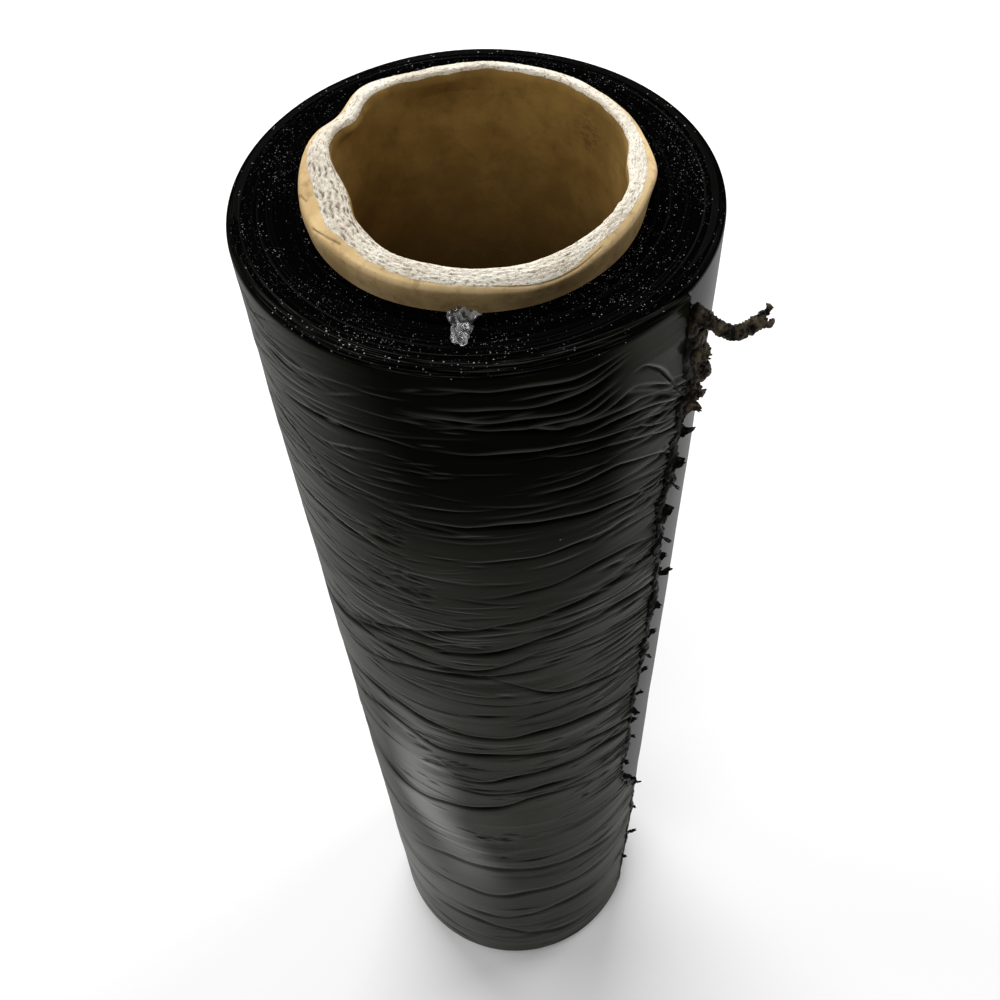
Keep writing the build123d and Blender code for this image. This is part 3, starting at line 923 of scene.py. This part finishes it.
def core_board(finish):
    """The core, from its outer foot over the rim and down the bore, as one closed wall."""
    columns = 560
    outline = (
        # radius, height, inner share, outer share
        (41.6, 0.0, 0, 0), (41.6, 452.0, 0, 0), (42.0, 463.0, 0, 0.1),
        (42.35, 467.0, 0, 0.4), (42.8, 470.4, 0, 0.75), (43.0, 472.6, 0.05, 1),
        (42.75, 473.7, 0.1, 1), (42.2, 474.25, 0.2, 1), (41.4, 474.75, 0.4, 0.7),
        (40.4, 475.1, 0.6, 0.5), (39.4, 475.5, 0.85, 0.25), (38.6, 475.35, 0.95, 0.1),
        (38.1, 474.4, 1, 0), (37.9, 472.8, 1, 0), (37.95, 471.2, 0.7, 0),
        (38.1, 468.2, 0, 0), (38.1, 440.0, 0, 0), (38.1, 0.0, 0, 0),
        (39.8, 0.0, 0, 0), (41.6, 0.0, 0, 0))
    counts = (2, 2, 3, 4, 6, 7, 6, 9, 8, 9, 8, 8, 6, 4, 3, 4, 6, 2, 2)
    line = eased(outline, counts)
    corner = np.cumsum((0,) + counts)
    for start, end in ((0, 3), (14, 19)):
        low, high = corner[start], corner[end]
        steps = np.arange(low, high + 1)
        for lane in range(4):
            line[low:high + 1, lane] = np.interp(
                steps, corner, np.asarray(outline, dtype=float)[:, lane])
    piece, column, share = open_tube("core_board", columns, len(line) - 2)
    row = np.rint((1 - share) * (len(line) - 1)).astype(int)
    radius, height, inner, outer = line[row].T.copy()
    angle = 360 * column / columns
    turned = np.radians(angle)
    round_place = grid_of(np.cos(turned), np.sin(turned), 0)
    dented = np.zeros_like(radius)
    for at, spread, move_in, move_out, drop in RIM_DENTS:
        bump = bell(turn_from(angle, at), spread)
        radius += bump * (inner * move_in + outer * move_out)
        height -= bump * drop * np.maximum(inner, outer)
        dented += bump * abs(move_in) / 5
    worn = np.clip(dented, 0, 1)
    rim = smooth(0.1, 0.6, np.maximum(inner, outer))
    waver = rough(round_place * 2.6 + (0, 0, 1), 2.2, 3)
    height += rim * 0.45 * waver
    across = np.interp(row, corner, np.arange(len(corner)))
    start = np.full_like(radius, 7.3)
    for at, spread, shift in PLY_SHIFTS:
        start += shift * bell(turn_from(angle, at), spread)
    ragged = rough(round_place * 7 + (0, 0, 4), 5.5, 4)
    bared = smooth(-0.2, 0.2, across - start - 0.35 * ragged) * smooth(
        12.0, 11.7, across - 0.3 * ragged)
    layer = across * 1.6 + 0.75 * rough(round_place * 13 + (0, 0, 8), 3.4, 4)
    leaf, within = np.floor(layer), layer % 1
    trough = bared * bell(within - 0.5, 0.2)
    uneven = rough(round_place * 24 + grid_of(0, 0, 3.7 * leaf), 6.1, 4)
    frayed = rough(grid_of(radius * 2.2, 45 * turned, height), 7.7, 3)
    split = trough * np.clip(0.75 * worn + 1.0 * uneven - 0.3, 0, 1.1)
    height += bared * (0.20 * uneven * (0.4 + worn) + 0.16 * frayed - 0.7 * split)
    cracked = cracks_at(angle, across)
    radius += bared * 0.1 * frayed - 0.35 * cracked
    # Painted light: the tan is lit on the lip's top and, lower down too, on the left side, where
    # the light falls
    left = bell(turn_from(angle, 197), 42)
    keep_share(piece, "bared", bared)
    keep_share(piece, "gap", np.clip(split + 0.42 * worn * bared * (0.5 + 0.6 * frayed), 0, 1))
    keep_share(piece, "inside", smooth(11.4, 11.9, across) * (row <= corner[17]))
    keep_share(piece, "cracks_and_shadow_line", cracked)
    keep_share(piece, "painted_light_share", np.maximum(
        smooth(4.7, 5.2, across) * (1 - 0.5 * left), 0.55 * left * smooth(2.2, 3.9, across)))
    set_points(piece, round_the_axis(radius, angle, height))
    merge_points(piece)
    smooth_faces(piece, 60)
    hand_over(piece, finish, "kraft_board", "core_tube")


# The torn edge


def torn_spot(share, proud=0.0):
    height = FILM_BOTTOM + share * FILM_WIDTH
    return round_the_axis(FILM_RADIUS + LAST_TURN_STEP + proud, edge_angle(height), height)


def torn_ridge():
    """The torn edge itself: film rolled up on itself, thick at the bunches."""
    columns = 16
    piece, column, share = open_tube("torn_ridge", columns, 20, 19)
    height = 0.012 + 0.972 * share
    thick = 0.45 + 0.5 * smooth(0.45, 0.8, height)
    for index, place in enumerate(BUNCHES):
        spread = 0.010 + 0.012 * scatter(index, 3)
        size = 1.1 * (0.45 + 0.55 * place)
        thick += size * bell(height - place, spread)
    around = 2 * np.pi * column / columns
    places = grid_of(height * 160, np.cos(around), np.sin(around))
    thick *= 0.35 + 0.65 * creased(places * (1, 0.7, 0.7), 2.9, 3)
    thick *= np.clip(np.minimum(share, 1 - share) / 0.01, 0, 1)
    level = FILM_BOTTOM + height * FILM_WIDTH
    sway = 0.9 * rough(grid_of(height * 60, 0, 0), 1.3, 3)
    radius = FILM_RADIUS + LAST_TURN_STEP + 0.1 + 0.8 * thick * np.cos(around)
    angle = edge_angle(level) + np.degrees((sway + 1.15 * thick * np.sin(around)) / FILM_RADIUS)
    over = np.clip(level - (FILM_TOP - 4.5), 0, None)
    set_points(piece, round_the_axis(radius - 0.18 * over**2, angle, level))
    merge_points(piece)
    return piece


def twisted_strip(name, line, width, thickness, twists, lane, seed):
    """One strip of a strand, wound round the strand's line."""
    columns = 10
    piece, column, share = open_tube(name, columns, 14, 8)
    forward = line(np.minimum(1, share + 0.01)) - line(np.maximum(0, share - 0.01))
    forward /= np.linalg.norm(forward, axis=1)[:, None]
    side = np.cross(forward, (0, 0, 1))
    side /= np.linalg.norm(side, axis=1)[:, None]
    rise = np.cross(side, forward)
    wind = 2 * np.pi * twists * share + lane
    around = 2 * np.pi * column / columns
    taper = np.clip(np.minimum(share / 0.03, (1 - share) / 0.05), 0, 1)
    crumple = 0.7 + 0.4 * creased(grid_of(share * 14, np.cos(around), np.sin(around)), seed, 3)
    flat = grid_of(width * np.cos(around), thickness * np.sin(around)) * (
        taper * crumple)[:, None]
    off = 0.55 * thickness + 0.25 * width * rough(grid_of(share * 9, 0, 0), seed)
    u = off * np.cos(wind) + flat[:, 0] * np.sin(wind) + flat[:, 1] * np.cos(wind)
    v = off * np.sin(wind) - flat[:, 0] * np.cos(wind) + flat[:, 1] * np.sin(wind)
    set_points(piece, line(share) + u[:, None] * side + v[:, None] * rise)
    merge_points(piece)
    return piece


def strand_line(share):
    bend = np.sin(np.pi * share**1.25)
    wriggle = 0.6 * np.sin(9 * share + 0.5) * share
    return round_the_axis(*STRAND_START) + grid_of(
        18.0 * share, -2.2 * bend + wriggle, -3.8 * share - 4.2 * bend)


def strand():
    """The loose twisted end that stands out from the torn edge, forked at its tip."""
    root = strand_line(0.86)
    strips = []
    for lane in range(3):
        strips.append(twisted_strip(
            f"strand_strip_{lane}", strand_line, 1.5, 1.05, 2.6, lane * 2.1, 3.3 + lane))
    for index, (heading, lift) in enumerate(((38.0, 3.4), (-20.0, 1.2))):
        def prong(share, heading=heading, lift=lift):
            return root + round_the_axis(4.4 * share, heading, lift * share**1.5)
        strips.append(twisted_strip(
            f"strand_prong_{index}", prong, 0.95, 0.6, 1.2, index, 8.1 + index))
    return strips


def torn_strip(name, points, width, thickness, twists, seed):
    """A narrow strip along places given by angle, height and stand-off."""
    places = np.array([round_the_axis(FILM_RADIUS + stand, angle, height)
                       for angle, height, stand in points])
    route = eased(places, (12,) * (len(points) - 1))
    shares = np.linspace(0, 1, len(route))

    def line(share):
        return grid_of(*(np.interp(share, shares, lane) for lane in route.T))
    return twisted_strip(name, line, width, thickness, twists, 0.6, seed)


def crumpled_lump(name, centre, size, squash, seed):
    """A small wad of crumpled film."""
    put_down()
    bpy.ops.mesh.primitive_ico_sphere_add(subdivisions=4, radius=1)
    piece = named(name)
    spots = points_of(piece)
    fold = creased(spots * 1.5, seed, 3)[:, None]
    grain = rough(spots * 3.2, seed + 0.7, 2)[:, None]
    spots = spots * (0.78 + 0.13 * fold + 0.24 * grain)
    out = centre / np.linalg.norm(centre[:2])
    out[2] = 0
    side = np.array([-out[1], out[0], 0])
    shaped = (spots[:, :1] * out * squash[0] + spots[:, 1:2] * side * squash[1]
              + spots[:, 2:] * np.array([0, 0, squash[2]]))
    set_points(piece, centre + size * shaped)
    return piece


def torn_tag(name, share, length, width, heading, lift, curl, seed):
    """A ragged tongue of film: stands out from the torn edge and curls."""
    piece, along, across = flat_sheet(name, 14, 8)
    root = torn_spot(share, -0.6)
    level = root[2]
    out_angle = edge_angle(level) + heading
    ahead = round_the_axis(1.0, out_angle, 0.0)
    up = np.array([0, 0, 1.0])
    side = np.cross(up, ahead)
    length, width = 1.15 * length, 1.35 * width
    ragged = 1 + 0.7 * rough(grid_of(along * 3.5, np.sign(across - 0.5), 0), seed, 2)
    half = width * (across - 0.5) * (1 - 0.72 * along**1.3) * ragged
    reach = length * along * (1 + 0.25 * rough(grid_of(across * 4, 0, 0), seed))
    crease = 0.55 * rough(grid_of(along * 2.4, across * 2.2, 0), seed + 2, 3)
    turned = np.radians(curl) * along
    set_points(piece, root + reach[:, None] * ahead
               + (half * np.cos(turned) + lift * along**1.6)[:, None] * up
               + (half * np.sin(turned) + crease)[:, None] * side)
    thicken(piece, TAG_THICKNESS)
    return piece


# Torn tongues: share up the film, length, width, heading from straight out, lift, curl
TORN_TAGS = (
    (0.955, 5.5, 4.5, 30, -2, 70), (0.915, 5, 4, 20, -3, 90), (0.885, 4.5, 3.6, 48, 1, 140),
    (0.862, 4.2, 4, 30, 1.5, 80), (0.845, 3.6, 3.4, 12, -1.5, -60), (0.815, 4.2, 3.6, 46, 1.5, 80),
    (0.79, 3.8, 3, 15, -1.5, -70), (0.76, 3, 2.6, 35, 1, 60), (0.73, 6, 2.6, 62, 1, -120),
    (0.7, 3.4, 2.8, 20, -1, 70), (0.655, 4, 2.4, 62, 0.8, 100), (0.628, 3.2, 2.6, 20, -1.5, -80),
    (0.6, 3.8, 2, 60, 0.6, 60), (0.565, 3.6, 2, 60, 0.8, -100), (0.54, 3, 2.4, 15, -1, 80),
    (0.52, 3.4, 2, 58, 0.6, 60), (0.485, 3.2, 2.4, 45, 1, -90), (0.44, 2.8, 2.2, 40, -1, 70),
    (0.395, 3.2, 2.4, 50, 0.8, 110), (0.325, 3.4, 3, 25, 1, -60), (0.24, 2.6, 2.2, 30, 1, 70),
    (0.165, 5, 2, 40, 0.4, 40), (0.1, 2.6, 2, 35, -0.8, 60),
)

# Wads of film: angle, height, stand-off, size, squash out, along and up
TORN_WADS = (
    (-38.6, 456, 1.2, 2.5, (1, 1, 1.1)), (-37, 450, 1.5, 3, (0.9, 1.1, 1.2)),
    (-35.6, 443, 2, 3.2, (1, 1.1, 1.2)), (-34, 435.5, 2.2, 3.4, (1, 1, 1.1)),
    (-35.4, 428.5, 1.8, 3, (1, 1.1, 1)), (-37.8, 423.5, 1, 2.2, (0.9, 1, 1.2)),
    (-40.2, 414, 0.5, 2.3, (0.7, 1.1, 1.7)), (-39.4, 404, 0.7, 2.6, (0.8, 1, 1.6)),
    (-39.6, 396, 0.8, 2.8, (0.8, 1, 1.4)), (-42, 388, 0.6, 2.5, (0.7, 1.1, 1.7)),
    (-40.6, 379, 0.8, 2.5, (0.8, 1.2, 1.3)), (-42.6, 369, 0.5, 2, (0.7, 1.1, 1.8)),
    (-41, 357, 0.5, 1.7, (0.7, 1.1, 1.6)), (-37.6, 345, 0.6, 1.8, (0.8, 1.4, 1)),
    (-38.8, 322, 0.8, 1.7, (0.9, 1, 1.3)), (-40.2, 297, 0.5, 1.3, (0.8, 1, 1.7)),
    (-42.6, 264, 0.6, 1.4, (0.8, 1.2, 1.2)), (-42, 232, 0.5, 1.2, (0.8, 1, 1.7)),
    (-29.5, 160, 0.9, 1.9, (0.9, 1, 1.6)), (-26.8, 140, 0.5, 1.4, (0.8, 1, 1.8)),
    (-27.2, 84, 0.5, 1.3, (0.8, 1, 1.7)),
)

# Narrow strips: width, thickness, twists, then places by angle, height and stand-off
TORN_STRIPS = (
    (0.9, 0.35, 0.4, ((-39.5, 417, 0.4), (-37, 424, 2.2), (-34, 426.5, 3.2),
                      (-31.2, 424.5, 3.6), (-29.6, 421, 3.4))),
    (1, 0.5, 0.8, ((-40, 447, 0.6), (-37.5, 440, 1.9), (-36, 432, 2.6), (-36.6, 424, 1.6),
                   (-38.6, 417, 0.6))),
    (0.7, 0.4, 0.8, ((-41, 410, 0.6), (-39, 402, 1.6), (-40.5, 393, 1.2), (-42.5, 384, 0.7))),
    (0.6, 0.35, 0.6, ((-42, 378, 0.5), (-39.6, 372, 1.6), (-40.6, 362, 0.9), (-39.6, 352, 0.6))),
)


def torn_edge(finish):
    wads = [crumpled_lump(f"wad_{index}", round_the_axis(FILM_RADIUS + stand, angle, height),
                          size, squash, 1.7 + index)
            for index, (angle, height, stand, size, squash) in enumerate(TORN_WADS)]
    tags = [torn_tag(f"tag_{index}", *sizes, 2.3 + index)
            for index, sizes in enumerate(TORN_TAGS)]
    strips = [torn_strip(f"strip_{index}", points, width, thickness, twists, 4.1 + index)
              for index, (width, thickness, twists, points) in enumerate(TORN_STRIPS)]
    for name, pieces in (("torn_ridge", [torn_ridge()] + strips), ("loose_strand", strand()),
                         ("torn_wads", wads), ("torn_tags", tags)):
        piece = joined(name, pieces)
        smooth_faces(piece, 42)
        hand_over(piece, finish, "black_film", "torn_film_tail")


# The clear scrap


def clear_scrap(finish):
    """A crumpled scrap of clear film at the foot of the core, at the front."""
    piece, along, across = flat_sheet("clear_scrap", 34, 34)
    centre = round_the_axis(CORE_RADIUS, SCRAP_ANGLE, FILM_TOP)
    out = round_the_axis(1.0, SCRAP_ANGLE, 0.0)
    side = np.array([-out[1], out[0], 0])
    places = grid_of(along * 3.2, across * 3.4, 0)
    wide = 1.1 + 7.4 * (across - 0.5) * (1 - 0.4 * along) * (
        1 + 0.35 * rough(grid_of(along * 3, np.sign(across - 0.5), 0), 4.2, 2))
    far = 1.6 + 11.2 * along * (1 - 0.35 * np.abs(2 * across - 1)**1.5)
    lift = 0.5 + 2.6 * np.sin(np.pi * np.clip(along * 0.95 + 0.12, 0, 1)) * (
        0.55 + 0.45 * np.cos(2.4 * np.pi * (across - 0.45)))
    lift += 1.25 * creased(places, 3.8, 2) - 1.1
    wide = wide + 0.9 * rough(places * 1.3, 6.4, 2)
    far = far + 0.8 * rough(places * 1.3, 7.9, 2)
    far = np.clip(far, 0.15, None)
    set_points(piece, centre + far[:, None] * out + wide[:, None] * side
               + np.clip(lift, 0.15, 4.6)[:, None] * np.array([0, 0, 1.0]))
    thicken(piece, SCRAP_THICKNESS)
    smooth_faces(piece, 50)
    hand_over(piece, finish, "clear_film", "clear_film_scrap")


# Floor, lights and camera


def floor():
    put_down()
    bpy.ops.mesh.primitive_plane_add(size=14)
    ground = named("floor")
    finish, _ = new_finish("pale_floor")
    ground.data.materials.append(finished(finish, {
        "Base Color": (0.93, 0.93, 0.93, 1), "Roughness": 0.8, "Specular IOR Level": 0.1}))


def set_up(name, tool):
    stand = bpy.data.objects.new(name, tool)
    bpy.context.scene.collection.objects.link(stand)
    return stand


def soft_light(name, place, aim, size, power):
    lamp = bpy.data.lights.new(name, "AREA")
    lamp.shape = "RECTANGLE"
    lamp.size, lamp.size_y = size
    lamp.energy = power
    stand = set_up(name, lamp)
    stand.location = place
    stand.rotation_euler = (Vector(aim) - Vector(place)).to_track_quat("-Z", "Y").to_euler()


# Windows: name, place, aim, size, power
WINDOWS = (
    ("back_window", (-0.35, 1.75, 1.75), (0, 0, 0.2), (2.2, 1.2), 56),
    ("left_window", (-1.7, 0.45, 1.25), (0, 0, 0.25), (1.0, 1.0), 8),
    ("top_window", (-0.3, -0.7, 2.2), (0, 0, 0.4), (0.9, 0.7), 15),
    ("right_window", (1.6, 0.75, 1.2), (0, 0, 0.25), (0.9, 0.9), 12),
)


def lights():
    for window in WINDOWS:
        soft_light(*window)
    world = bpy.data.worlds.new("room")
    world.use_nodes = True
    sky = world.node_tree.nodes["Background"]
    sky.inputs["Color"].default_value = (1, 1, 1, 1)
    sky.inputs["Strength"].default_value = 0.14
    bpy.context.scene.world = world


# The camera that took the photograph, fitted to its outlines: place, dip, turn and roll, lens
CAMERA_PLACE = (0, -0.2268, 0.6453)
CAMERA_TURNS = (53.68, 0.48, -3.16)
CAMERA_LENS, CAMERA_SENSOR = 40.71, 36


def camera():
    pitch, yaw, roll = (math.radians(turn) for turn in CAMERA_TURNS)
    lens = bpy.data.cameras.new("photo_view")
    lens.lens, lens.sensor_width = CAMERA_LENS, CAMERA_SENSOR
    lens.clip_start = 0.01
    eye = set_up("photo_view", lens)
    eye.matrix_world = (
        Matrix.Translation(CAMERA_PLACE) @ Matrix.Rotation(-yaw, 4, "Z")
        @ Matrix.Rotation(math.pi / 2 - pitch, 4, "X") @ Matrix.Rotation(roll, 4, "Z"))
    bpy.context.scene.camera = eye


bpy.context.scene.view_settings.view_transform = "Standard"
camera()
lights()
floor()
film_wall(wrap_finish())
edges = film_end_finish()
film_end("film_top", FILM_TOP, 1, edges)
film_end("film_foot", FILM_BOTTOM, -1, edges)
core_board(board_finish())
torn_edge(torn_film_finish())
clear_scrap(clear_film_finish())
